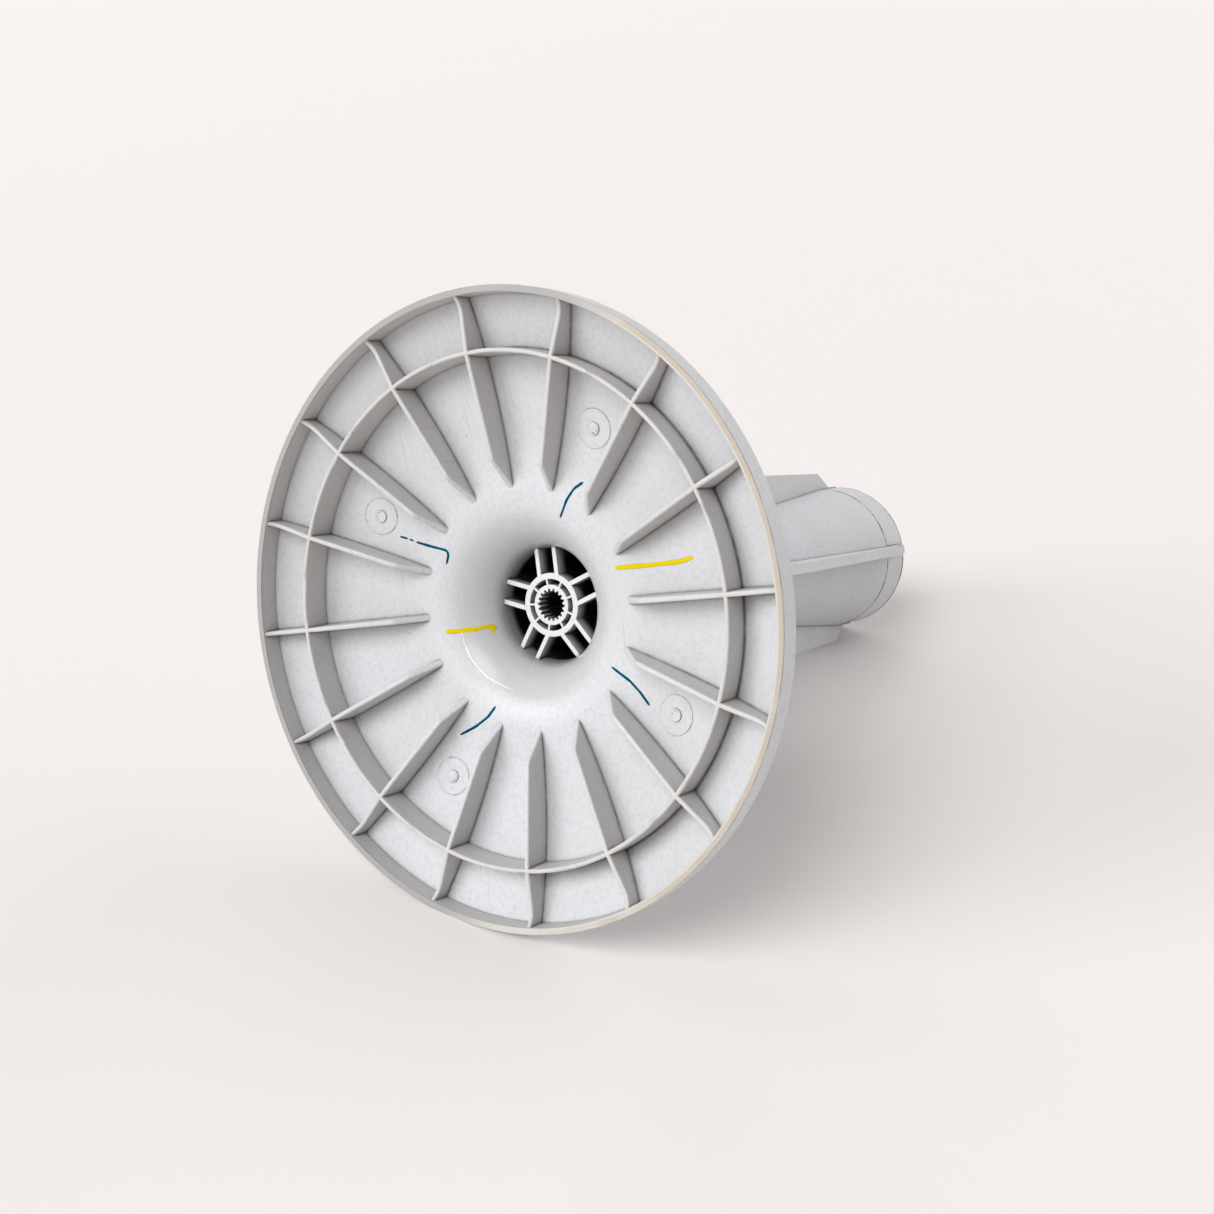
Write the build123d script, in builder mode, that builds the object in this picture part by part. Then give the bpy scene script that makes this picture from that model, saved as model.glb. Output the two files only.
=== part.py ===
from build123d import *
from math import atan2, cos, hypot, pi, radians, sin, sqrt, tan
import os

# Washing machine agitator, one injection moulding in a light grey plastic.
# It stands on the rim of its skirt: the origin is the centre of the rim's bottom face, +Z runs up the barrel.
# All sizes are in millimetres and all angles in degrees.

# Skirt: the broad domed disc at the foot, open below
skirt_radius = 168.5
rim_thickness = 3.5
rim_edge_rounding = 1.5
wall = 3.0
dome_edge_height = 11.5
dome_middle_inset = 30.5
dome_middle_height = 21.1
dome_inner_margin = 7.8
dome_inner_height = 30.4

# Well: the trumpet-shaped mouth under the barrel that the drive shaft comes up through
well_radius = 31.2
well_mouth_rounding = 33.0

# Ribs under the skirt: radial ribs, and one ring rib that ties them
rib_count = 16
rib_thickness = 2.4
rib_draft = 1.2
rib_flat_height = 4.7
rib_curl_reach = 9.5
rib_foot_height = 0.5
rib_knee_margin = 16.3
rib_knee_height = 16.0
rib_knee_rounding = 6.0
rib_tip_margin = -0.4
ring_inset = 28.9
ring_thickness = 2.4
rib_edge_rounding = 1.1

# Hub: a splined sleeve, a carrier ring around it, thin webs between the two, and five pairs of spokes
hub_height = 55.3
carrier_radius = 17.6
carrier_wall = 3.3
sleeve_gap = 3.1
sleeve_wall = 2.3
spline_teeth = 18
spline_depth = 1.3
spline_gap_at_tip = 1.7
spline_gap_at_root = 1.1
spline_start_angle = 18.0
web_count = 9
web_thickness = 1.15
web_start_angle = 35.0
spoke_pairs = 5
spoke_spacing = 11.6
spoke_thickness = 2.5
spoke_start_angle = 0.0

# Shelf that closes the hub from above, with the hole for the retaining bolt
shelf_height = 120.0
shelf_thickness = 6.0
bolt_hole_radius = 4.25

# Barrel: a plain post, a cone that widens to the parting line, and a straight band above it
barrel_height = 438.0
band_length = 29.0
band_radius = 50.6
band_flare = 0.4
cone_length = 164.0
cone_blend_radius = 420.0
barrel_edge_rounding = 0.8

# Vanes: straight fins up the barrel that sweep out over the skirt and end in a low rib on the band
vane_count = 4
vane_thickness = 6.6
vane_draft = 1.0
vane_top_projection = 11.6
vane_foot_projection = 31.8
vane_shoulder_drop = 31.0
vane_slope_drop = 15.5
band_rib_projection = 1.0
band_rib_thickness = 5.8
fin_inset = 40.5
fin_sweep_height = 105.0

# Gate marks: a low round pad and a sprue stub in every fourth bay between ribs
gate_count = 4
gate_inset = 29.1
gate_pad_radius = 10.3
gate_pad_height = 0.35
gate_stub_radius = 3.4
gate_stub_height = 0.9

# Places along the skirt, out from the well's mouth or in from the rim
rim_inner_radius = skirt_radius - rim_thickness
mouth_x = well_radius + well_mouth_rounding
dome_middle_radius = rim_inner_radius - dome_middle_inset
dome_inner_radius = mouth_x + dome_inner_margin
rib_tip_radius = mouth_x + rib_tip_margin
rib_knee_radius = mouth_x + rib_knee_margin
rib_flat_radius = rim_inner_radius - rib_curl_reach
ring_radius = rim_inner_radius - ring_inset
gate_circle_radius = ring_radius - gate_inset
fin_radius = skirt_radius - fin_inset
rib_pitch = 360 / rib_count
half_wall = wall / 2

# Places in the hub, in from the carrier ring
carrier_inner_radius = carrier_radius - carrier_wall
sleeve_radius = carrier_inner_radius - sleeve_gap
spline_root_radius = sleeve_radius - sleeve_wall
spline_tip_radius = spline_root_radius - spline_depth
shelf_top = shelf_height + shelf_thickness
hub_length = shelf_height - hub_height + shelf_thickness / 2

# Places along the barrel, down from its top and out from its walls
post_radius = well_radius + wall
band_height = barrel_height - band_length
cone_start_height = band_height - cone_length
barrel_top_radius = band_radius + band_flare
vane_top_radius = band_radius + vane_top_projection
vane_foot_radius = post_radius + vane_foot_projection
vane_shoulder_height = barrel_height - vane_shoulder_drop
vane_slope_height = barrel_height - vane_slope_drop
band_rib_radius = barrel_top_radius + band_rib_projection


def circle_through(a, b, c):
    """Centre and radius of the circle through three points of a profile."""
    ax, ay = a
    bx, by = b
    cx, cy = c
    d = 2 * (ax * (by - cy) + bx * (cy - ay) + cx * (ay - by))
    aa, bb, cc = ax * ax + ay * ay, bx * bx + by * by, cx * cx + cy * cy
    x = (aa * (by - cy) + bb * (cy - ay) + cc * (ay - by)) / d
    y = (aa * (cx - bx) + bb * (ax - cx) + cc * (bx - ax)) / d
    return (x, y), hypot(ax - x, ay - y)


def arc_points(centre, radius, start, end):
    """Start, middle and end point of the arc from angle start to angle end, in radians."""
    angles = (start, (start + end) / 2, end)
    return [(centre[0] + radius * cos(a), centre[1] + radius * sin(a)) for a in angles]


# The dome's underside is one arc; the mouth of the well is an arc tangent to it and to the well's wall
dome_centre, dome_radius = circle_through(
    (rim_inner_radius, dome_edge_height),
    (dome_middle_radius, dome_middle_height),
    (dome_inner_radius, dome_inner_height),
)
mouth_reach = dome_radius + well_mouth_rounding
mouth_z = dome_centre[1] + sqrt(mouth_reach**2 - (mouth_x - dome_centre[0]) ** 2)
meeting_angle = atan2(mouth_z - dome_centre[1], mouth_x - dome_centre[0])


def dome_z(radius, offset=0.0):
    """Height of the skirt's plate at a radius: offset 0 is its underside, offset wall its top."""
    return dome_centre[1] + sqrt((dome_radius + offset) ** 2 - (radius - dome_centre[0]) ** 2)


def dome_slope(radius):
    """Angle of the plate to the level at a radius, positive where it falls outwards."""
    return atan2(radius - dome_centre[0], dome_z(radius) - dome_centre[1])


def dome_arc(offset, outer_radius, inner_radius=None):
    """Three points of the plate's profile, from a radius inwards to another or to the well's mouth."""
    start = pi / 2 - atan2(outer_radius - dome_centre[0], dome_z(outer_radius, offset) - dome_centre[1])
    if inner_radius is None:
        end = meeting_angle
    else:
        end = pi / 2 - atan2(inner_radius - dome_centre[0], dome_z(inner_radius, offset) - dome_centre[1])
    return arc_points(dome_centre, dome_radius + offset, start, end)


def mouth_arc(offset):
    """Three points of the mouth's profile, from the plate to the upright wall of the well."""
    return arc_points((mouth_x, mouth_z), well_mouth_rounding - offset, meeting_angle - pi, -pi)


def vane_half_width(radius):
    """Half the thickness of a vane at a radius: it narrows outwards by its draft."""
    return vane_thickness / 2 + (vane_top_radius - radius) * tan(radians(vane_draft))


# What is turned starts halfway between two ribs, so that no rib lies on the seam of a turned face
seam_angle = radians(rib_pitch / 2)
turning_plane = Plane(
    origin=(0, 0, 0),
    x_dir=(cos(seam_angle), sin(seam_angle), 0),
    z_dir=(sin(seam_angle), -cos(seam_angle), 0),
)

# Radial rib: its outline from the side, cut to a wedge that is thicker at the root, with a round free edge
rib_top = dome_inner_height + wall
rib_root = rib_thickness + 2 * rib_top * tan(radians(rib_draft))
with BuildPart() as radial_rib:
    with BuildSketch(Plane.XZ):
        with BuildLine():
            root = dome_arc(half_wall, skirt_radius - rim_thickness / 2, rib_tip_radius)
            FilletPolyline(
                root[2],
                (rib_knee_radius, rib_knee_height),
                (ring_radius, rib_flat_height),
                (rib_flat_radius, rib_flat_height),
                radius=rib_knee_rounding,
            )
            TangentArc((rib_flat_radius, rib_flat_height), (rim_inner_radius, rib_foot_height), tangent=(1, 0))
            Polyline((rim_inner_radius, rib_foot_height), (root[0][0], rib_foot_height), root[0])
            ThreePointArc(*root)
        make_face()
    extrude(amount=rib_root, both=True)
    with BuildSketch(Plane.YZ):
        Polygon(
            (-rib_thickness / 2, 0),
            (rib_thickness / 2, 0),
            (rib_root / 2, rib_top),
            (-rib_root / 2, rib_top),
            align=None,
        )
    extrude(amount=skirt_radius, mode=Mode.INTERSECT)
    outline = radial_rib.edges().filter_by(lambda edge: abs(edge.center().Y) > rib_thickness / 4)
    below_plate = outline.filter_by(lambda edge: edge.center().Z < dome_z(edge.center().X) - wall)
    fillet(below_plate.filter_by(lambda edge: edge.center().X < rim_inner_radius), rib_edge_rounding)

# Vane: its outline from the side, cut to a wedge that is thicker at the barrel
with BuildPart() as vane:
    with BuildSketch(Plane.XZ):
        with BuildLine():
            foot = dome_arc(half_wall, fin_radius)
            tip_z = dome_z(fin_radius, wall)
            ThreePointArc(*foot)
            ThreePointArc(*mouth_arc(half_wall))
            FilletPolyline(
                (post_radius - half_wall, mouth_z),
                (post_radius - half_wall, cone_start_height),
                (band_radius - half_wall, band_height),
                radius=cone_blend_radius,
            )
            Polyline(
                (band_radius - half_wall, band_height),
                (band_radius - half_wall, vane_slope_height),
                (band_rib_radius, vane_slope_height),
                (vane_top_radius, vane_shoulder_height),
                (vane_foot_radius, fin_sweep_height),
            )
            TangentArc((vane_foot_radius, fin_sweep_height), (fin_radius, tip_z), tangent=(0, -1))
            Line((fin_radius, tip_z), foot[0])
        make_face()
    extrude(amount=2 * vane_thickness, both=True)
    with BuildSketch():
        Polygon(
            (well_radius, -vane_half_width(well_radius)),
            (fin_radius, -vane_half_width(fin_radius)),
            (fin_radius, vane_half_width(fin_radius)),
            (well_radius, vane_half_width(well_radius)),
            align=None,
        )
    extrude(amount=barrel_height, mode=Mode.INTERSECT)

# Body: skirt, well, shelf and barrel are one turned profile, and everything else grows from it
with BuildPart() as agitator:
    with BuildSketch(turning_plane) as shell_profile:
        with BuildLine():
            under = dome_arc(0, rim_inner_radius)
            over = dome_arc(wall, skirt_radius)
            Polyline(over[0], (skirt_radius, 0), (rim_inner_radius, 0), under[0])
            ThreePointArc(*under)
            ThreePointArc(*mouth_arc(0))
            Polyline(
                (well_radius, mouth_z),
                (well_radius, shelf_height),
                (bolt_hole_radius, shelf_height),
                (bolt_hole_radius, shelf_top),
                (well_radius, shelf_top),
            )
            FilletPolyline(
                (well_radius, shelf_top),
                (well_radius, cone_start_height),
                (band_radius - wall, band_height),
                radius=cone_blend_radius,
            )
            Polyline(
                (band_radius - wall, band_height),
                (barrel_top_radius - wall, barrel_height),
                (barrel_top_radius, barrel_height),
                (band_radius, band_height),
            )
            FilletPolyline(
                (band_radius, band_height),
                (post_radius, cone_start_height),
                (post_radius, mouth_z),
                radius=cone_blend_radius,
            )
            ThreePointArc(*reversed(mouth_arc(wall)))
            ThreePointArc(*reversed(over))
        make_face()
        fillet(shell_profile.vertices().group_by(Axis.Y)[-1], barrel_edge_rounding)
        fillet(shell_profile.vertices().group_by(Axis.X)[-1].sort_by(Axis.Y)[-1], rim_edge_rounding)
    revolve(axis=Axis.Z)

    # Ring rib, a low wall around the axis that is thicker at the root
    ring_top = dome_z(ring_radius, half_wall)
    ring_flare = (ring_top - rib_flat_height) * tan(radians(rib_draft))
    with BuildSketch(turning_plane) as ring_profile:
        Polygon(
            (ring_radius - ring_thickness / 2, rib_flat_height),
            (ring_radius + ring_thickness / 2, rib_flat_height),
            (ring_radius + ring_thickness / 2 + ring_flare, ring_top),
            (ring_radius - ring_thickness / 2 - ring_flare, ring_top),
            align=None,
        )
        fillet(ring_profile.vertices().group_by(Axis.Y)[0], rib_edge_rounding)
    revolve(axis=Axis.Z)

    with PolarLocations(0, rib_count):
        add(radial_rib.part)
    with PolarLocations(0, vane_count):
        add(vane.part)

    # Low ribs that carry the vanes' lines across the band to the top edge
    with BuildSketch(Plane.XY.offset(vane_slope_height)):
        with PolarLocations((barrel_top_radius - half_wall + band_rib_radius) / 2, vane_count):
            Rectangle(band_rib_radius - barrel_top_radius + half_wall, band_rib_thickness)
    extrude(amount=barrel_height - vane_slope_height)

    # Hub, from its lower face up into the shelf
    with BuildSketch(Plane.XY.offset(hub_height)):
        Circle(carrier_radius)
        Circle(carrier_inner_radius, mode=Mode.SUBTRACT)
        Circle(sleeve_radius)
        with PolarLocations((sleeve_radius + carrier_inner_radius) / 2, web_count, web_start_angle):
            Rectangle(carrier_inner_radius - sleeve_radius + carrier_wall, web_thickness)
        spoke_reach = well_radius + half_wall - carrier_inner_radius
        with PolarLocations(carrier_inner_radius + spoke_reach / 2, spoke_pairs, spoke_start_angle):
            with Locations((0, spoke_spacing / 2), (0, -spoke_spacing / 2)):
                Rectangle(spoke_reach, spoke_thickness)
    extrude(amount=hub_length)

    # Drive spline, cut up to the shelf, and the bolt hole on through it
    with BuildSketch(Plane.XY.offset(hub_height)):
        Circle(spline_tip_radius)
        with PolarLocations(0, spline_teeth, spline_start_angle):
            Polygon(
                (0, -spline_gap_at_tip / 2),
                (spline_tip_radius, -spline_gap_at_tip / 2),
                (spline_root_radius, -spline_gap_at_root / 2),
                (spline_root_radius, spline_gap_at_root / 2),
                (spline_tip_radius, spline_gap_at_tip / 2),
                (0, spline_gap_at_tip / 2),
                align=None,
            )
    extrude(amount=shelf_height - hub_height, mode=Mode.SUBTRACT)
    with BuildSketch(Plane.XY.offset(hub_height)):
        Circle(bolt_hole_radius)
    extrude(amount=shelf_top - hub_height, mode=Mode.SUBTRACT)

    # Gate marks, each square to the plate's underside
    gate_tilt = dome_slope(gate_circle_radius)
    for index in range(gate_count):
        spin = Rotation(0, 0, rib_pitch * 1.5 + index * 360 / gate_count)
        seat = spin * Plane(
            origin=(gate_circle_radius, 0, dome_z(gate_circle_radius)),
            x_dir=(0, 1, 0),
            z_dir=(-sin(gate_tilt), 0, -cos(gate_tilt)),
        ).location
        with BuildSketch(Plane(seat)):
            Circle(gate_pad_radius)
        extrude(amount=gate_pad_height, both=True)
        with BuildSketch(Plane(seat)):
            Circle(gate_stub_radius)
        extrude(amount=gate_stub_height, both=True)
agitator.part.label = "agitator_body"

os.makedirs("parts", exist_ok=True)
export_step(agitator.part, "parts/agitator_body.step")
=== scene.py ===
# %% [markdown]
# A washing machine agitator, seen from below
#
# The real part is one moulding in off-white plastic: a domed skirt with ribs underneath, a hub in its
# middle, and a barrel with four vanes behind it. The CAD model has the whole shape, so this script adds
# what a mould, a machine and a workshop leave on it: parting lines, gate marks, marker strokes, grime
# and a slightly worn gloss. It also paints shade into corners, the well and the hollow, and a painted
# highlight on the well's ring. First comes the frame, which is the imported CAD model.

# %% Load the CAD frame
import math

import bmesh
import bpy
import numpy as np
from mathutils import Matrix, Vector


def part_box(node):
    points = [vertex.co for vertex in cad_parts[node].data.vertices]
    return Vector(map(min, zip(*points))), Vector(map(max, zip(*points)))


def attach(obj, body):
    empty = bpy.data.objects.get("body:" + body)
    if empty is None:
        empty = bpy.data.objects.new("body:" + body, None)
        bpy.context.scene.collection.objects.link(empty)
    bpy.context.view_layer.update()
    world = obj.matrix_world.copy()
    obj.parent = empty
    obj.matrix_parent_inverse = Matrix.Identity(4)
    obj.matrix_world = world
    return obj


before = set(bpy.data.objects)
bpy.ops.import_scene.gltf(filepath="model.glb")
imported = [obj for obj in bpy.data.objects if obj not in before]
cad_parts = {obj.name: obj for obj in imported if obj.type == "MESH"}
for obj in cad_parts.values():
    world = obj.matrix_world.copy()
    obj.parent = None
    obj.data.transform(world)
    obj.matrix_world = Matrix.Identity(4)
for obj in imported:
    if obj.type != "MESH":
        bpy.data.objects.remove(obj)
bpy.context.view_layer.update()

scene = bpy.context.scene
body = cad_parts["agitator_body"]
body_high = np.array(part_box("agitator_body")[1])
rim_radius = body_high[0]
barrel_end = body_high[2]
print(f"The agitator is {2000 * rim_radius:.0f} mm wide and {1000 * barrel_end:.0f} mm tall.")

# %% [markdown]
# The camera
#
# The photograph looks up into the skirt, a little from one side, so that the barrel runs away to the
# right. A camera can be aimed by hand, but here its place, its turn and its lens come from a fit to the
# rim, the ribs and the barrel's end, because then every mark can be placed by the picture. The picture
# is square, so the lens is given for a square frame on a 36 mm sensor.

# %% Set up the camera
picture_pixels = 1214
camera_place = Vector((0.0329, 0.4846, -0.6276))
camera_turn = (173.202, -32.758, 97.753)
camera_lens = 45.284

camera = bpy.data.objects.new("camera", bpy.data.cameras.new("camera"))
scene.collection.objects.link(camera)
camera.location = camera_place
camera.rotation_euler = [math.radians(angle) for angle in camera_turn]
camera.data.lens = camera_lens
camera.data.sensor_width = 36
scene.camera = camera
bpy.context.view_layer.update()
camera_axes = np.array(camera.matrix_world.to_3x3())
print(f"The camera stands {camera_place.length:.2f} m from the middle of the rim.")

# %% [markdown]
# Surfaces from grids of points
#
# Every addition is a surface that runs along two parameters, so one helper turns a grid of points into a
# mesh. The points are computed with numpy as whole arrays, and the helper only says which four of them
# make a face. Where a row shrinks to one point, as at a bead's end, its points are merged, so the
# surface is closed there. Numbers that a material needs, one for each point, go along as attributes.

# %% Helper: a mesh from a grid of points
def grid_mesh(name, points, close_rows=False, close_columns=False, marks={}):
    """Makes an object from points of shape (rows, columns, 3): point (i, j) is joined to (i, j + 1),
    (i + 1, j + 1) and (i + 1, j). A closed direction joins its last line of points to its first. Points
    that coincide are merged, and marks gives an attribute's name with one number for each point."""
    rows, columns = points.shape[:2]
    index = np.arange(rows * columns).reshape(rows, columns)
    if close_rows:
        index = np.vstack([index, index[:1]])
    if close_columns:
        index = np.hstack([index, index[:, :1]])
    corners = [index[:-1, :-1], index[:-1, 1:], index[1:, 1:], index[1:, :-1]]
    faces = np.stack(corners, axis=-1).reshape(-1, 4)
    mesh = bpy.data.meshes.new(name)
    mesh.from_pydata(points.reshape(-1, 3).tolist(), [], faces.tolist())
    for label, values in marks.items():
        mesh.attributes.new(label, "FLOAT", "POINT").data.foreach_set("value", np.ravel(values))
    merged = bmesh.new()
    merged.from_mesh(mesh)
    bmesh.ops.remove_doubles(merged, verts=merged.verts, dist=1e-7)
    merged.to_mesh(mesh)
    merged.free()
    mesh.polygons.foreach_set("use_smooth", np.ones(len(mesh.polygons), bool))
    piece = bpy.data.objects.new(name, mesh)
    scene.collection.objects.link(piece)
    print(f"{name}: {len(mesh.polygons)} faces")
    return piece


# %% [markdown]
# The floor
#
# The agitator lies on its side: the skirt's rim and the corner of one vane touch the floor. The floor is
# the plane through those two, so its slope follows from where the rim touches and how far the barrel
# leans. A flat disc would do, but the camera looks low across it, so the disc is wide enough to fill the
# picture to its top edge. From behind it is clear, so that it never hides the part.

# %% Lay the floor
rim_contact = math.radians(197.3)
barrel_lean = math.radians(14.782)
floor_reach = 16.0

floor_up = np.array([
    -math.cos(rim_contact) * math.cos(barrel_lean),
    -math.sin(rim_contact) * math.cos(barrel_lean),
    -math.sin(barrel_lean),
])
floor_right = np.cross(floor_up, [0, 0, 1])
floor_right /= np.linalg.norm(floor_right)
floor_back = np.cross(floor_up, floor_right)
floor_middle = -floor_up * rim_radius * math.cos(barrel_lean)


def floor_points(distance, angle):
    """A point of the floor: from its middle, so far away and in that direction along the floor."""
    across = np.cos(angle)[..., None] * floor_right + np.sin(angle)[..., None] * floor_back
    return floor_middle + distance[..., None] * across


rings = np.concatenate([[0], np.geomspace(0.02, floor_reach, 40)])
distance, angle = np.meshgrid(rings, np.linspace(0, 2 * math.pi, 97)[:-1], indexing="ij")
floor = grid_mesh("floor", floor_points(distance, angle)[:, ::-1], close_columns=True)

# %% [markdown]
# The light
#
# Two highlights in the photograph tell where its lights are. A broad one lies on the lower edge of the
# well, so a window stands low on the left. A thin one curls round the well's ring mark, so a second
# light hangs higher, nearer to the camera. The shadow falls softly to the right, and the barrel is lit
# from behind as well, so two weaker lights stand at the back. Sun lamps spread over a wide angle act as
# large soft boxes whose light doesn't fade across the floor. The world only fills what they leave.

# %% Hang the lamps
def above_floor(turn, height):
    """A direction: turn is measured on the floor from the camera's side, to the right, height above it."""
    front = camera_axes[:, 2] - (camera_axes[:, 2] @ floor_up) * floor_up
    front /= np.linalg.norm(front)
    right = np.cross(floor_up, front)
    turn, height = math.radians(turn), math.radians(height)
    flat = math.cos(turn) * front + math.sin(turn) * right
    return math.cos(height) * flat + math.sin(height) * floor_up


def far_lamp(name, direction, spread, strength):
    """A lamp far away, whose light comes from one direction, spread over so many degrees of sky."""
    lamp = bpy.data.lights.new(name, "SUN")
    lamp.angle = math.radians(spread)
    lamp.energy = strength
    holder = bpy.data.objects.new(name, lamp)
    scene.collection.objects.link(holder)
    holder.rotation_euler = Vector(direction).to_track_quat("Z", "Y").to_euler()
    print(f"{name}: strength {strength}, spread {spread} degrees")
    return holder


far_lamp("window_left", above_floor(-70, 22), spread=34, strength=1.3)
far_lamp("light_above", above_floor(-33, 49), spread=34, strength=1.3)
far_lamp("back_left", above_floor(-150, 50), spread=60, strength=0.6)
far_lamp("back_right", above_floor(110, 30), spread=60, strength=0.85)

fill_strength = 0.265
seen_strength = 0.9
world = bpy.data.worlds.new("room")
scene.world = world
world.use_nodes = True
room = world.node_tree
room_light = room.nodes["Background"]
room_light.inputs["Color"].default_value = (1.0, 0.985, 0.975, 1)
seen = room.nodes.new("ShaderNodeLightPath")
any_view = seen.outputs["Is Camera Ray"]
for ray in ("Is Glossy Ray", "Is Transmission Ray"):
    either = room.nodes.new("ShaderNodeMath")
    either.operation = "MAXIMUM"
    room.links.new(any_view, either.inputs[0])
    room.links.new(seen.outputs[ray], either.inputs[1])
    any_view = either.outputs[0]
brightness = room.nodes.new("ShaderNodeMapRange")
brightness.inputs["To Min"].default_value = fill_strength
brightness.inputs["To Max"].default_value = seen_strength
room.links.new(any_view, brightness.inputs["Value"])
room.links.new(brightness.outputs["Result"], room_light.inputs["Strength"])
scene.view_settings.view_transform = "Standard"

# %% [markdown]
# Materials as small node trees
#
# Every finish is a node tree. A few helpers keep the trees short: one adds a node and sets its values,
# one does arithmetic, one makes a smooth step, and one mixes two colours. A colour is written as it looks
# on the screen, because it is judged against a picture, and a helper turns it into linear values.

# %% Helpers: nodes and arithmetic
def add(tree, kind, inputs=(), **settings):
    """Adds a node, sets its properties, then fills its inputs with values or joins them to sockets."""
    node = tree.nodes.new(kind)
    for name, value in settings.items():
        setattr(node, name, value)
    for name, value in dict(inputs).items():
        if isinstance(value, bpy.types.NodeSocket):
            tree.links.new(value, node.inputs[name])
        else:
            node.inputs[name].default_value = value
    return node


def calc(tree, operation, first, second=0.0, clamp=False):
    """One arithmetic step on two values or sockets."""
    node = add(tree, "ShaderNodeMath", {0: first, 1: second}, operation=operation, use_clamp=clamp)
    return node.outputs[0]


def ramp(tree, value, low, high):
    """A smooth step: 0 below low, 1 above high. With low above high it falls instead of rising."""
    node = add(
        tree, "ShaderNodeMapRange",
        {"Value": value, "From Min": low, "From Max": high, "To Min": 0.0, "To Max": 1.0},
        interpolation_type="SMOOTHSTEP",
    )
    return node.outputs["Result"]


def blend_colour(tree, share, first, second):
    """Mixes two colours by a share from 0 to 1."""
    node = add(tree, "ShaderNodeMix", data_type="RGBA")
    for socket, value in zip((node.inputs[0], node.inputs[6], node.inputs[7]), (share, first, second)):
        if isinstance(value, bpy.types.NodeSocket):
            tree.links.new(value, socket)
        else:
            socket.default_value = value
    return node.outputs[2]


def colour(red, green, blue):
    """A colour given as it looks on the screen, 0 to 255, turned into the linear values of a socket."""
    screen = np.array([red, green, blue]) / 255
    linear = np.where(screen <= 0.04045, screen / 12.92, ((screen + 0.055) / 1.055) ** 2.4)
    return (*linear.tolist(), 1.0)


def new_material(name):
    """An empty material with its Principled BSDF and its output."""
    material = bpy.data.materials.new(name)
    material.use_nodes = True
    tree = material.node_tree
    return material, tree, tree.nodes["Principled BSDF"]


# %% Finish of the floor
floor_colour = colour(243, 238, 236)
floor_finish, tree, shader = new_material("floor_finish")
shader.inputs["Base Color"].default_value = floor_colour
shader.inputs["Roughness"].default_value = 0.55
shader.inputs["Specular IOR Level"].default_value = 0.1
clear = add(tree, "ShaderNodeBsdfTransparent")
side = add(tree, "ShaderNodeNewGeometry")
either = add(tree, "ShaderNodeMixShader", {
    0: side.outputs["Backfacing"], 1: shader.outputs[0], 2: clear.outputs[0],
})
tree.links.new(either.outputs[0], tree.nodes["Material Output"].inputs["Surface"])
floor.data.materials.append(floor_finish)

# %% [markdown]
# Effects that more than one finish uses
#
# Painted shade, specks and grain show on the moulding and on what lies on it, so each is a node
# group: built once, then placed in a material with its own values. The shade group asks the Ambient
# Occlusion node how closed in a point is and paints it darker there, as painted shade in corners and
# creases. The speck group keeps the middles of a few cells of a Voronoi pattern, which gives round spots
# far apart. The grain group is noise for the Bump node, for the fine roughness that a mould's steel
# leaves in plastic.

# %% Helpers: build a group, then place it
def new_group(name, given_values, output):
    """A node group with named value inputs and one output, ready to be filled."""
    group = bpy.data.node_groups.new(name, "ShaderNodeTree")
    for label, value in given_values.items():
        group.interface.new_socket(label, in_out="INPUT", socket_type="NodeSocketFloat").default_value = value
    group.interface.new_socket(output, in_out="OUTPUT", socket_type="NodeSocketFloat")
    return group, add(group, "NodeGroupInput").outputs, add(group, "NodeGroupOutput").inputs[output]


def use(tree, group, **values):
    """Places a group in a material, sets its inputs and returns its output."""
    node = add(tree, "ShaderNodeGroup", node_tree=group)
    for label, value in values.items():
        node.inputs[label].default_value = value
    return node.outputs[0]


def noise(tree, scale, detail=2.0, vector=None):
    """Noise from 0 to 1 in the part's own space, with so many lumps in a metre."""
    vector = vector or add(tree, "ShaderNodeTexCoord").outputs["Object"]
    lumps = add(tree, "ShaderNodeTexNoise", {"Vector": vector, "Scale": scale, "Detail": detail})
    return lumps.outputs["Fac"]


# %% Group: painted shade in the corners
corner_shade, given, mask = new_group("painted_corner_shade", {"Reach": 0.006, "Patches": 60.0, "Amount": 1.0}, "Mask")
# Painted shade: the more closed in a point is, the darker it is painted.
closed_in = add(
    corner_shade, "ShaderNodeAmbientOcclusion", {"Distance": given["Reach"]}, samples=8, only_local=True,
)
uneven = calc(corner_shade, "ADD", noise(corner_shade, given["Patches"], 4.0), 0.45)
amount = calc(corner_shade, "MULTIPLY", uneven, given["Amount"])
in_corner = ramp(corner_shade, closed_in.outputs["AO"], 0.95, 0.4)
corner_shade.links.new(calc(corner_shade, "MULTIPLY", in_corner, amount, clamp=True), mask)

# %% Group: specks
specks, given, mask = new_group("small_specks", {"Cells": 120.0, "Size": 0.1, "Share": 0.1}, "Mask")
spot = add(specks, "ShaderNodeTexCoord").outputs["Object"]
cells = add(specks, "ShaderNodeTexVoronoi", {"Vector": spot, "Scale": given["Cells"]})
inside = ramp(specks, cells.outputs["Distance"], given["Size"], 0.0)
pick = add(specks, "ShaderNodeSeparateColor", {"Color": cells.outputs["Color"]}).outputs["Red"]
chosen = calc(specks, "LESS_THAN", pick, given["Share"])
specks.links.new(calc(specks, "MULTIPLY", inside, chosen), mask)

# %% Group: grain
grain, given, height = new_group("mould_grain", {"Lumps": 1400.0, "Depth": 1.0}, "Height")
coarse = noise(grain, given["Lumps"], 2.0)
wide = noise(grain, 260.0, 2.0)
both = calc(grain, "ADD", coarse, calc(grain, "MULTIPLY", wide, 0.6))
grain.links.new(calc(grain, "MULTIPLY", both, given["Depth"]), height)
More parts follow.
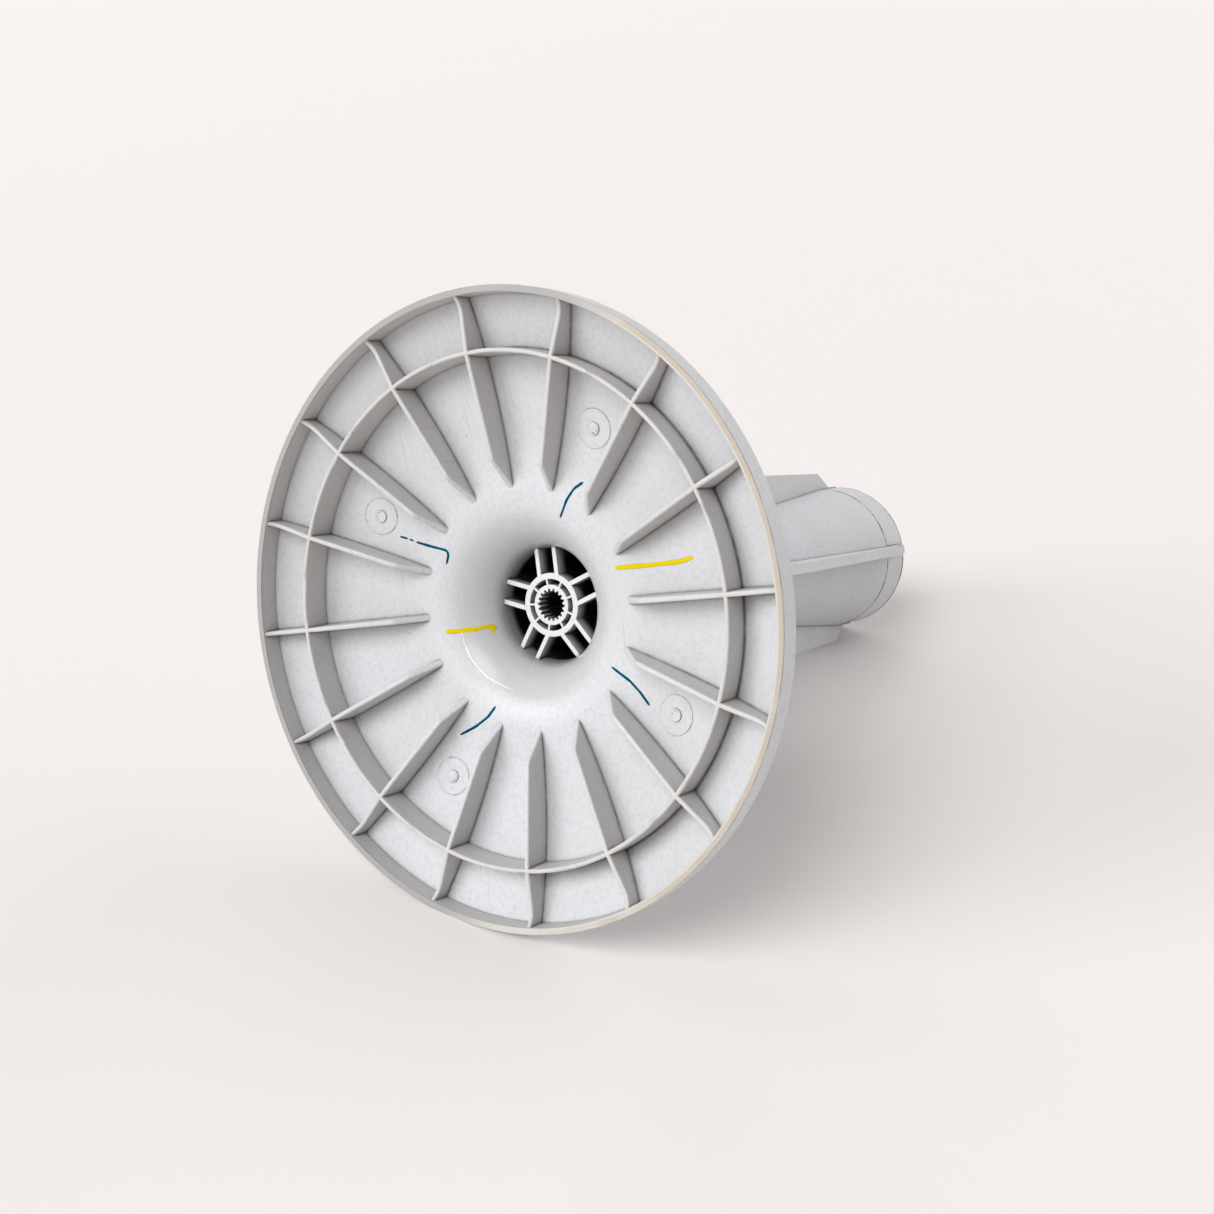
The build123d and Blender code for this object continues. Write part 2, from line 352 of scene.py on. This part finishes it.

# %% [markdown]
# The plastic
#
# The moulding is a cool light grey polypropylene. The plate comes from a slightly rough mould face and
# looks matt, with a fine grain. The well comes from a polished pin, so it shines; towards its inside it
# is painted darker, as painted shade. The hub's face is lighter, and behind it the hollow is painted
# black, as painted shade, because no light comes back from there, and the wall down to the hub is
# painted dark too. Steep walls under the skirt are painted darker and warmer, as painted shade. The
# rim's bottom face has yellowed on one side and gone grey on the other. All of these follow the distance
# from the axis, the height and the way a face looks, so the material works them out from the Object
# coordinates and the normal. The wall is only 3 mm thick, so the inner and outer sides are told apart by
# the two arcs of its profile, each given as its middle's radius and height and its own radius. The Bevel
# node rounds the shading along the edges, because a mould's edges are never quite sharp.

# %% Sizes that the finish follows
# Radii and heights of the moulding, in metres
pin_radius = 0.0485
post_inside = 0.0312
hub_face = 0.0553
hub_radius = 0.0322
shelf_top = 0.126
rim_inside = 0.165
plate_inside = 0.062

# Arcs of the wall's middle: radius and height of the arc's centre, then its own radius
plate_arc = (0.0589, -0.2724, 0.3046)
mouth_arc = (0.0642, 0.0636, 0.0315)

# Where each finish begins and where it is full
# The well and depth ranges place painted shade.
well_shade_range = (0.056, 0.045)
lip_range = (0.069, 0.061)
depth_shade_range = (0.0475, 0.0575)
rib_edge_low, rib_edge_high = 0.0008, 0.0056


# %% Helpers: one place on the moulding
def between(tree, value, low, high, soft):
    """A mask that is 1 from low to high and fades over soft beyond each end."""
    return calc(tree, "MULTIPLY", ramp(tree, value, low - soft, low), ramp(tree, value, high + soft, high))


def distance_from(tree, radius, height, spot):
    """How far a point, given by its radius and height, lies from a spot in the same two numbers."""
    place = add(tree, "ShaderNodeCombineXYZ", {"X": radius, "Y": height}).outputs[0]
    apart = add(tree, "ShaderNodeVectorMath", {0: place, 1: (*spot, 0.0)}, operation="DISTANCE")
    return apart.outputs["Value"]


def below_the_plate(tree, radius, height):
    """A mask for the underside: the wall's middle is the plate's arc, and a point below it lies inside."""
    *middle, reach = plate_arc
    return ramp(tree, distance_from(tree, radius, height, middle), reach + 0.0006, reach - 0.0006)


def inside_the_mouth(tree, radius, height):
    """A mask for the well's inner side: the mouth's arc has its middle outside the well, and above that
    middle the wall runs straight up, so a point higher up is measured at the middle's height."""
    *middle, reach = mouth_arc
    height = calc(tree, "MINIMUM", height, middle[1])
    return ramp(tree, distance_from(tree, radius, height, middle), reach - 0.0004, reach + 0.0004)


# %% Finish of the moulding
def moulded_plastic():
    """The moulding's material: base tones by zone, then painted shade, scratches, specks and grain."""
    material, tree, shader = new_material("moulded_plastic")
    place = add(tree, "ShaderNodeTexCoord").outputs["Object"]
    x, y, z = add(tree, "ShaderNodeSeparateXYZ", {"Vector": place}).outputs
    radius = calc(tree, "SQRT", calc(tree, "ADD", calc(tree, "MULTIPLY", x, x), calc(tree, "MULTIPLY", y, y)))
    facing = add(tree, "ShaderNodeNewGeometry").outputs["True Normal"]
    upright = add(tree, "ShaderNodeSeparateXYZ", {"Vector": facing}).outputs[2]
    steep = ramp(tree, calc(tree, "ABSOLUTE", upright), 0.6, 0.3)

    clouds = ramp(tree, noise(tree, 9.0, 4.0), 0.35, 0.65)
    tone = blend_colour(tree, clouds, colour(213, 215, 219), colour(207, 208, 211))
    mottle = ramp(tree, noise(tree, 420.0, 3.0), 0.4, 0.75)
    tone = blend_colour(tree, calc(tree, "MULTIPLY", mottle, 0.4), tone, colour(186, 186, 189))

    underside = below_the_plate(tree, radius, z)
    on_the_plate = between(tree, radius, plate_inside, rim_inside + 0.0005, 0.001)
    under_skirt = calc(tree, "MULTIPLY", on_the_plate, underside)
    # Painted shade: steep walls under the skirt are painted darker and warmer.
    steep_wall_shade = calc(tree, "MULTIPLY", calc(tree, "MULTIPLY", steep, under_skirt), 0.55)
    tone = blend_colour(tree, steep_wall_shade, tone, colour(186, 181, 175))

    below_the_shelf = ramp(tree, z, shelf_top + 0.004, shelf_top + 0.001)
    in_mouth = calc(tree, "MULTIPLY", inside_the_mouth(tree, radius, z), below_the_shelf)
    in_well = calc(tree, "MULTIPLY", ramp(tree, radius, pin_radius + 0.0005, pin_radius - 0.0005), in_mouth)
    # Painted shade: the well is painted darker towards its inside.
    well_shade = calc(tree, "MULTIPLY", ramp(tree, radius, *well_shade_range), in_mouth)
    tone = blend_colour(tree, calc(tree, "MULTIPLY", well_shade, 0.6), tone, colour(193, 191, 190))
    # Painted shade: the wall is painted darker deeper in the well, down towards the hub.
    past_the_post = ramp(tree, radius, post_inside, post_inside + 0.0006)
    depth_shade = calc(tree, "MULTIPLY", ramp(tree, z, *depth_shade_range), past_the_post)
    depth_shade = calc(tree, "MULTIPLY", calc(tree, "MULTIPLY", depth_shade, well_shade), 0.55)
    tone = blend_colour(tree, depth_shade, tone, colour(70, 72, 80))

    near_the_edge = between(tree, z, rib_edge_low, rib_edge_high, 0.0003)
    rib_edge = calc(tree, "MULTIPLY", near_the_edge, ramp(tree, upright, -0.4, -0.9))
    rib_edge = calc(tree, "MULTIPLY", calc(tree, "MULTIPLY", rib_edge, under_skirt), 0.65)
    tone = blend_colour(tree, rib_edge, tone, colour(210, 206, 200))

    looks_down = ramp(tree, upright, -0.9, -0.98)
    on_the_face = between(tree, z, hub_face - 0.0002, hub_face + 0.0004, 0.0002)
    hub_front = calc(tree, "MULTIPLY", looks_down, on_the_face)
    hub_front = calc(tree, "MULTIPLY", hub_front, ramp(tree, radius, hub_radius, hub_radius - 0.0006))
    tone = blend_colour(tree, hub_front, tone, colour(222, 222, 221))
    streaks = calc(tree, "MULTIPLY", ramp(tree, noise(tree, 700.0, 3.0), 0.62, 0.74), hub_front)
    tone = blend_colour(tree, calc(tree, "MULTIPLY", streaks, 0.5), tone, colour(140, 124, 108))

    # Painted shade: the hollow behind the hub's face is painted almost black.
    hollow_shade = calc(tree, "MULTIPLY", ramp(tree, z, hub_face + 0.0003, hub_face + 0.0095),
                ramp(tree, z, shelf_top, shelf_top - 0.002))
    hollow_shade = calc(tree, "MULTIPLY", hollow_shade, ramp(tree, radius, hub_radius + 0.003, hub_radius + 0.002))
    hollow_shade = calc(tree, "MULTIPLY", hollow_shade, in_mouth)
    tone = blend_colour(tree, hollow_shade, tone, colour(17, 18, 23))

    on_the_rim = ramp(tree, radius, rim_inside - 0.0004, rim_inside)
    foot = calc(tree, "MULTIPLY", ramp(tree, z, 0.0008, 0.0003), on_the_rim)
    yellow_side = calc(tree, "SUBTRACT", calc(tree, "MULTIPLY", y, 0.93), calc(tree, "MULTIPLY", x, 0.37))
    yellow_share = ramp(tree, yellow_side, 0.0, 0.05)
    worn = blend_colour(tree, yellow_share, colour(156, 156, 154), colour(208, 204, 196))
    tone = blend_colour(tree, calc(tree, "MULTIPLY", foot, 0.85), tone, worn)
    stain = ramp(tree, calc(tree, "ADD", noise(tree, 30.0, 4.0), calc(tree, "MULTIPLY", y, 2.2)), 0.45, 0.85)
    stain = calc(tree, "MULTIPLY", calc(tree, "MULTIPLY", foot, stain), ramp(tree, radius, 0.1653, 0.1664))
    tone = blend_colour(tree, calc(tree, "MULTIPLY", stain, 0.85), tone, colour(186, 171, 156))
    outermost = ramp(tree, radius, 0.1672, 0.1676)
    corner = calc(tree, "MULTIPLY", between(tree, z, 0.0003, 0.0008, 0.0002), outermost)
    corner = calc(tree, "MULTIPLY", corner, ramp(tree, noise(tree, 90.0, 3.0), 0.35, 0.6))
    tone = blend_colour(tree, calc(tree, "MULTIPLY", corner, 0.7), tone, colour(112, 100, 92))

    # Painted shade in corners and creases, wide and narrow.
    wide_shade = use(tree, corner_shade, Reach=0.006, Patches=40.0, Amount=0.24)
    tone = blend_colour(tree, wide_shade, tone, colour(124, 119, 114))
    crease_shade = use(tree, corner_shade, Reach=0.0022, Patches=170.0, Amount=0.85)
    tone = blend_colour(tree, crease_shade, tone, colour(84, 78, 74))
    tree.links.new(marked(tree, tone, place), shader.inputs["Base Color"])

    matt, polished = 0.38, 0.2
    lip = calc(tree, "MULTIPLY", ramp(tree, radius, *lip_range), in_mouth)
    smooth_face = calc(tree, "MULTIPLY_ADD", lip, 0.7)
    tree.links.new(calc(tree, "MULTIPLY", in_well, 0.3), smooth_face.node.inputs[2])
    gloss = add(tree, "ShaderNodeMapRange", {"Value": smooth_face, "To Min": matt, "To Max": polished})
    dull = calc(tree, "MULTIPLY", noise(tree, 24.0, 3.0), 0.12)
    tree.links.new(calc(tree, "ADD", gloss.outputs["Result"], dull), shader.inputs["Roughness"])

    depth = add(tree, "ShaderNodeMapRange", {"Value": smooth_face, "To Min": 1.0, "To Max": 0.12})
    rough_face = calc(tree, "MULTIPLY", use(tree, grain, Lumps=1100.0, Depth=1.0), depth.outputs["Result"])
    soft_edge = add(tree, "ShaderNodeBevel", {"Radius": 0.0005}, samples=4).outputs["Normal"]
    bump = add(tree, "ShaderNodeBump", {
        "Strength": 0.4, "Distance": 0.0006, "Height": rough_face, "Normal": soft_edge,
    })
    tree.links.new(bump.outputs["Normal"], shader.inputs["Normal"])
    return material


def marked(tree, tone, place):
    """Adds what use leaves: hair-thin scratches in a few places, fine dark specks and a few larger ones."""
    for turn, seed in ((0.5, 0.0), (2.1, 0.7)):
        stretched = add(tree, "ShaderNodeMapping", {
            "Vector": place, "Rotation": (0.1, 0.1, turn),
            "Scale": (22.0, 800.0, 22.0), "Location": (seed, seed, seed),
        }).outputs["Vector"]
        hairs = ramp(tree, noise(tree, 1.0, 0.0, stretched), 0.78, 0.83)
        where = ramp(tree, noise(tree, 14.0 + seed, 2.0), 0.55, 0.66)
        hairs = calc(tree, "MULTIPLY", calc(tree, "MULTIPLY", hairs, where), 0.3)
        tone = blend_colour(tree, hairs, tone, colour(162, 160, 160))
    fine = use(tree, specks, Cells=300.0, Size=0.1, Share=0.1)
    tone = blend_colour(tree, calc(tree, "MULTIPLY", fine, 0.55), tone, colour(120, 112, 106))
    large = use(tree, specks, Cells=95.0, Size=0.07, Share=0.3)
    return blend_colour(tree, calc(tree, "MULTIPLY", large, 0.7), tone, colour(104, 94, 86))


body.material_slots[0].material = moulded_plastic()
print("The moulding wears", body.material_slots[0].material.name)

# %% [markdown]
# Feeling for the surface
#
# Lines and strokes lie on the moulding, so each needs the surface under it. The CAD mesh can be asked: a
# ray is sent from a point in a direction, and the place where it meets the mesh comes back with the way
# the face looks. For a pen stroke the ray starts at the camera and goes through a pixel of the picture,
# which puts the stroke where the picture has it and still flat on the plastic, seen from any side.

# %% Helpers: meet the surface
def meet_all(starts, directions):
    """Where rays first meet the moulding, and the outward directions there, smoothed along the path."""
    places, outwards = [], []
    for start, direction in zip(starts, directions):
        hit, place, outward, _ = body.ray_cast(Vector(start), Vector(direction).normalized())
        if not hit:
            raise RuntimeError(f"A ray from {start} misses the moulding")
        places.append(place)
        outwards.append(outward)
    outwards = np.array(outwards)
    for _ in range(3):
        outwards[1:-1] = (outwards[:-2] + 2 * outwards[1:-1] + outwards[2:]) / 4
    return np.array(places), outwards / np.linalg.norm(outwards, axis=1, keepdims=True)


def through_pixels(pixels):
    """The directions from the camera through pixels of the picture."""
    focal = camera_lens / 36 * picture_pixels
    middle = picture_pixels / 2
    column, row = np.asarray(pixels, float).T
    flat = np.stack([(column - middle) / focal, (middle - row) / focal, -np.ones_like(row)])
    return (camera_axes @ flat).T


# %% [markdown]
# Beads along a path
#
# Where two halves of a mould meet, plastic creeps into the gap and leaves a ragged ridge, thin as a
# hair, that then holds dirt. A pen leaves a film of ink that is thicker in its middle. Both are beads: a
# flat oval carried along a path. The oval's lower half is sunk in the plastic, so the bead is closed all
# round, and each open end narrows to one point. Curves with a bevel could make them too, but they keep
# one thickness, and here the width wanders.

# %% Helper: a bead along a path
around_bead = np.linspace(0, 2 * math.pi, 9)[:-1]


def wander(steps, seed, smallest):
    """A smooth random run of numbers from smallest to 1: sines of rising pace with random phases."""
    draw = np.random.default_rng(seed)
    pace = np.array([2, 5, 11, 23, 47, 90])
    phase = draw.uniform(0, 2 * math.pi, pace.size)
    weight = 1 / np.sqrt(pace)
    wave = (np.sin(np.outer(steps, pace) * 2 * math.pi + phase) * weight).sum(1) / weight.sum()
    return smallest + (1 - smallest) * np.clip(0.5 + 0.9 * wave, 0, 1)


def bead(name, path, width, height, finish, seed=1, smallest=0.3, closed=False, taper=0.03):
    """Each ring of points is the path's middle, moved sideways by cos(t) half widths and outwards by
    sin(t) heights, where t goes round the oval. The sideways direction is outward cross along. Each bead
    gets the finish it is given."""
    middle, outward = path
    steps = np.linspace(0, 1, len(middle), endpoint=not closed)
    if closed:
        along = np.roll(middle, -1, axis=0) - np.roll(middle, 1, axis=0)
        thin = wander(steps, seed, smallest)
    else:
        along = np.gradient(middle, axis=0)
        thin = wander(steps, seed, smallest) * np.sqrt(np.clip(np.minimum(steps, 1 - steps) / taper, 0, 1))
    side = np.cross(outward, along)
    side /= np.linalg.norm(side, axis=1, keepdims=True)
    across = np.cos(around_bead)[None, :, None]
    above = np.sin(around_bead)[None, :, None]
    thin = thin[:, None, None]
    points = middle[:, None] + thin * (across * width / 2 * side[:, None] + above * height * outward[:, None])
    middle_share = np.broadcast_to(np.abs(across[..., 0]), points.shape[:2])
    piece = grid_mesh(name, points, closed, True, marks={"from_middle": middle_share})
    piece.data.materials.append(finish)
    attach(piece, "root")
    return piece


# %% [markdown]
# Mould lines and painted shade on the barrel
#
# The barrel's end is shaped by a core that meets the outer halves of the mould 29 mm below the top. The
# line stops at each vane, because the vanes' edges are cut in one piece there, and beside the front vane
# it turns and runs on to the end; that branch is partly the seam and partly painted shade along the
# vane's root. A second, finer line shows where the end meets its own insert, and it is partly painted
# shade along the end's edge. The lines are dark with dirt as well, so their finish mixes plastic with
# brown in patches.

# %% Finish of the mould lines
def dirty_line(name, clean, dirty, low, high):
    """Plastic that has taken up dirt in patches along a line, from the share low to high of the noise."""
    material, tree, shader = new_material(name)
    tone = blend_colour(tree, ramp(tree, noise(tree, 210.0, 4.0), low, high), clean, dirty)
    dots = use(tree, specks, Cells=500.0, Size=0.3, Share=0.3)
    tone = blend_colour(tree, calc(tree, "MULTIPLY", dots, 0.5), tone, colour(58, 50, 46))
    tree.links.new(tone, shader.inputs["Base Color"])
    fine = use(tree, grain, Lumps=1900.0, Depth=1.0)
    bump = add(tree, "ShaderNodeBump", {"Strength": 0.4, "Distance": 0.0002, "Height": fine})
    tree.links.new(bump.outputs["Normal"], shader.inputs["Normal"])
    shader.inputs["Roughness"].default_value = 0.6
    return material


# The darker line finish also carries the painted shade of the end line and the branch.
barrel_flash_and_shade = dirty_line("barrel_flash_and_shade", colour(150, 144, 138), colour(90, 82, 76), 0.34, 0.56)
faint_flash = dirty_line("faint_flash", colour(192, 191, 190), colour(122, 115, 108), 0.48, 0.64)

# %% Lines round the barrel, from vane to vane
seam_height = 0.4092
seam_width = 0.0017
line_height = 0.00028
end_line_height = 0.4366
end_line_and_shade_widths = (0.0010, 0.0018, 0.0010, 0.0012)
half_vane = 0.0039
band_radius = 0.051
outside_barrel = 0.09


def round_barrel(height, vane):
    """A path round the barrel from one vane to the next, met from outside at so many metres up."""
    gap = math.asin(half_vane / band_radius)
    turn = vane * math.pi / 2 + np.linspace(gap, math.pi / 2 - gap, 150)
    out = np.stack([np.cos(turn), np.sin(turn), np.zeros_like(turn)], axis=1)
    return meet_all(outside_barrel * out + [0, 0, height], -out)


for vane in range(4):
    number = vane + 1
    seam = round_barrel(seam_height, vane)
    bead(f"barrel_parting_line_{number}", seam, seam_width, line_height, barrel_flash_and_shade, vane)
    # The end line is partly the insert's mould line and partly painted shade along the end's edge.
    end_line = round_barrel(end_line_height, vane)
    width = end_line_and_shade_widths[vane]
    bead(f"barrel_end_line_and_shade_{number}", end_line, width, line_height, barrel_flash_and_shade, vane + 9, smallest=0.5)

# %% The branch beside the front vane, partly painted shade along its root
# Partly painted shade: a dark line along the front vane's root, from the seam up to the end.
branch_side = 0.0044
branch = np.linspace(seam_height, end_line_height, 60)
away = np.full_like(branch, outside_barrel)
starts = np.stack([np.full_like(branch, branch_side), away, branch], axis=1)
beside_vane = meet_all(starts, np.broadcast_to([0, -1, 0], starts.shape))
bead("vane_branch_line_and_shade", beside_vane, 0.0006, 0.0002, barrel_flash_and_shade, 4)

# %% [markdown]
# The pin's mark and the gates' rings
#
# The polished pin that shaped the well left a thin ridge where it met the plate's steel, not quite round.
# The ridge is drawn only along the arc where a lamp glints on it and is painted near white: a painted
# highlight on the ridge. Each of the four gates, where the plastic was shot in, has a low round pad with
# a torn stub. Round the pad lies a thread of flash, thick in some places and gone in others, and the
# stub's break has a curled edge.

# %% Ring in the well, a ridge with a painted highlight
def round_from_below(centre, radius, turn):
    """A path on the underside, round a centre through the given turns, met by rays straight up."""
    below = np.full_like(turn, -0.05)
    starts = np.stack([centre[0] + radius * np.cos(turn), centre[1] + radius * np.sin(turn), below], axis=1)
    return meet_all(starts, np.broadcast_to([0, 0, 1], starts.shape))


# Painted highlight: the ridge is near white and lies only on the arc where a lamp glints.
pin_highlight_finish, tree, shader = new_material("painted_highlight_line")
tone = blend_colour(tree, noise(tree, 120.0, 3.0), colour(248, 249, 250), colour(236, 236, 235))
tree.links.new(tone, shader.inputs["Base Color"])
fine = use(tree, grain, Lumps=900.0)
bump = add(tree, "ShaderNodeBump", {"Strength": 0.2, "Distance": 0.0002, "Height": fine})
tree.links.new(bump.outputs["Normal"], shader.inputs["Normal"])
shader.inputs["Roughness"].default_value = 0.14
shader.inputs["Specular IOR Level"].default_value = 1.0
shader.inputs["Coat Weight"].default_value = 1.0
shader.inputs["Coat Roughness"].default_value = 0.08
pin_highlight_turns = np.radians([-160, -148, -136, -124, -118, -106, -94])
pin_highlight_radii = [0.0469, 0.0475, 0.04875, 0.04925, 0.0495, 0.0490, 0.04825]
pin_turn = np.linspace(math.radians(-158), math.radians(-100), 130)
pin_highlight_arc = round_from_below((0, 0), np.interp(pin_turn, pin_highlight_turns, pin_highlight_radii), pin_turn)
bead("pin_ring_highlight", pin_highlight_arc, 0.0011, 0.0003, pin_highlight_finish, 5, 0.75, taper=0.35)

# %% Flash round the gate pads
gate_circle = 0.107
gate_turn = math.radians(33.75)
pad_radius = 0.0104
stub_ring = 0.0024
for gate in range(4):
    turn = gate_turn + gate * math.pi / 2
    centre = (gate_circle * math.cos(turn), gate_circle * math.sin(turn))
    ring = round_from_below(centre, pad_radius, np.linspace(0, 2 * math.pi, 141)[:-1])
    bead(f"gate_flash_{gate + 1}", ring, 0.0006, 0.00016, faint_flash, 20 + gate, 0.02, closed=True)
    curl = round_from_below(centre, stub_ring, turn + gate + np.linspace(1.2, 4.6, 40))
    bead(f"gate_curl_{gate + 1}", curl, 0.0008, 0.00035, faint_flash, 30 + gate, 0.2, taper=0.2)

# %% [markdown]
# Strokes of a marker
#
# Somebody checked this part with a blue and a yellow marker. Four blue ticks and two yellow dashes lie
# on the plate and in the well. Each is given by a few pixels of the picture. They are joined by a line
# whose corners are rounded, and each of its points is met on the plastic. Ink is darkest in the middle
# of a stroke, and a pen that starts dry leaves gaps, so the bead can be told to break.

# %% Finish of the ink
def ink(name, core, edge):
    """Ink: one colour in the middle of the stroke and another at its edges, with streaks of both."""
    material, tree, shader = new_material(name)
    from_middle = add(tree, "ShaderNodeAttribute", attribute_name="from_middle").outputs["Fac"]
    streaks = calc(tree, "MULTIPLY", noise(tree, 900.0, 3.0), 0.5)
    share = ramp(tree, calc(tree, "ADD", from_middle, streaks), 0.5, 1.3)
    tree.links.new(blend_colour(tree, share, core, edge), shader.inputs["Base Color"])
    fine = use(tree, grain, Lumps=1500.0)
    bump = add(tree, "ShaderNodeBump", {"Strength": 0.3, "Distance": 0.0001, "Height": fine})
    tree.links.new(bump.outputs["Normal"], shader.inputs["Normal"])
    shader.inputs["Roughness"].default_value = 0.42
    shader.inputs["Specular IOR Level"].default_value = 0.05
    return material


blue_ink = ink("blue_ink", colour(0, 62, 86), colour(0, 122, 148))
yellow_ink = ink("yellow_ink", colour(226, 202, 0), colour(220, 197, 4))


# %% Draw the strokes
ink_height = 0.00006


def stroke(name, pixels, width, finish, seed, smallest=0.8):
    """A stroke through pixels: points every pixel along them, then corners rounded by averaging."""
    pixels = np.array(pixels, float)
    length = np.concatenate([[0], np.cumsum(np.linalg.norm(np.diff(pixels, axis=0), axis=1))])
    steps = np.linspace(0, length[-1], int(length[-1]) + 2)
    line = np.stack([np.interp(steps, length, pixels[:, axis]) for axis in range(2)], axis=1)
    for _ in range(6):
        line[1:-1] = (line[:-2] + 2 * line[1:-1] + line[2:]) / 4
    path = meet_all(np.broadcast_to(camera_place, (len(line), 3)), through_pixels(line))
    return bead(name, path, width, ink_height, finish, seed, smallest, taper=0.06)


blue_pen, yellow_pen = 0.0017, 0.0026
stroke("blue_stroke_1a", [(400, 536.5), (408, 538.6)], blue_pen * 0.8, blue_ink, 41)
stroke("blue_stroke_1b", [(409.5, 539.2), (414, 541)], blue_pen * 0.7, blue_ink, 42)
tick = [(416, 541.9), (431, 546.4), (447, 550.5), (448.6, 555), (446.4, 564.6)]
stroke("blue_stroke_1c", tick, blue_pen, blue_ink, 43)
stroke("blue_stroke_2", [(583.5, 482), (574, 488.5), (566.5, 500), (560, 518)], blue_pen, blue_ink, 44)
stroke("blue_stroke_3", [(611, 666.5), (630, 681), (640, 692), (650, 706)], blue_pen, blue_ink, 45)
stroke("blue_stroke_4", [(496, 706), (488, 717), (476, 726.5), (460, 735)], blue_pen, blue_ink, 46)
dash = [(614, 568), (650, 565), (680, 561.5), (694, 557)]
stroke("yellow_stroke_1", dash, yellow_pen, yellow_ink, 47)
hook = [(445, 632), (470, 630), (493, 625.5), (495, 628), (491, 633)]
stroke("yellow_stroke_2", hook, yellow_pen * 1.1, yellow_ink, 48)
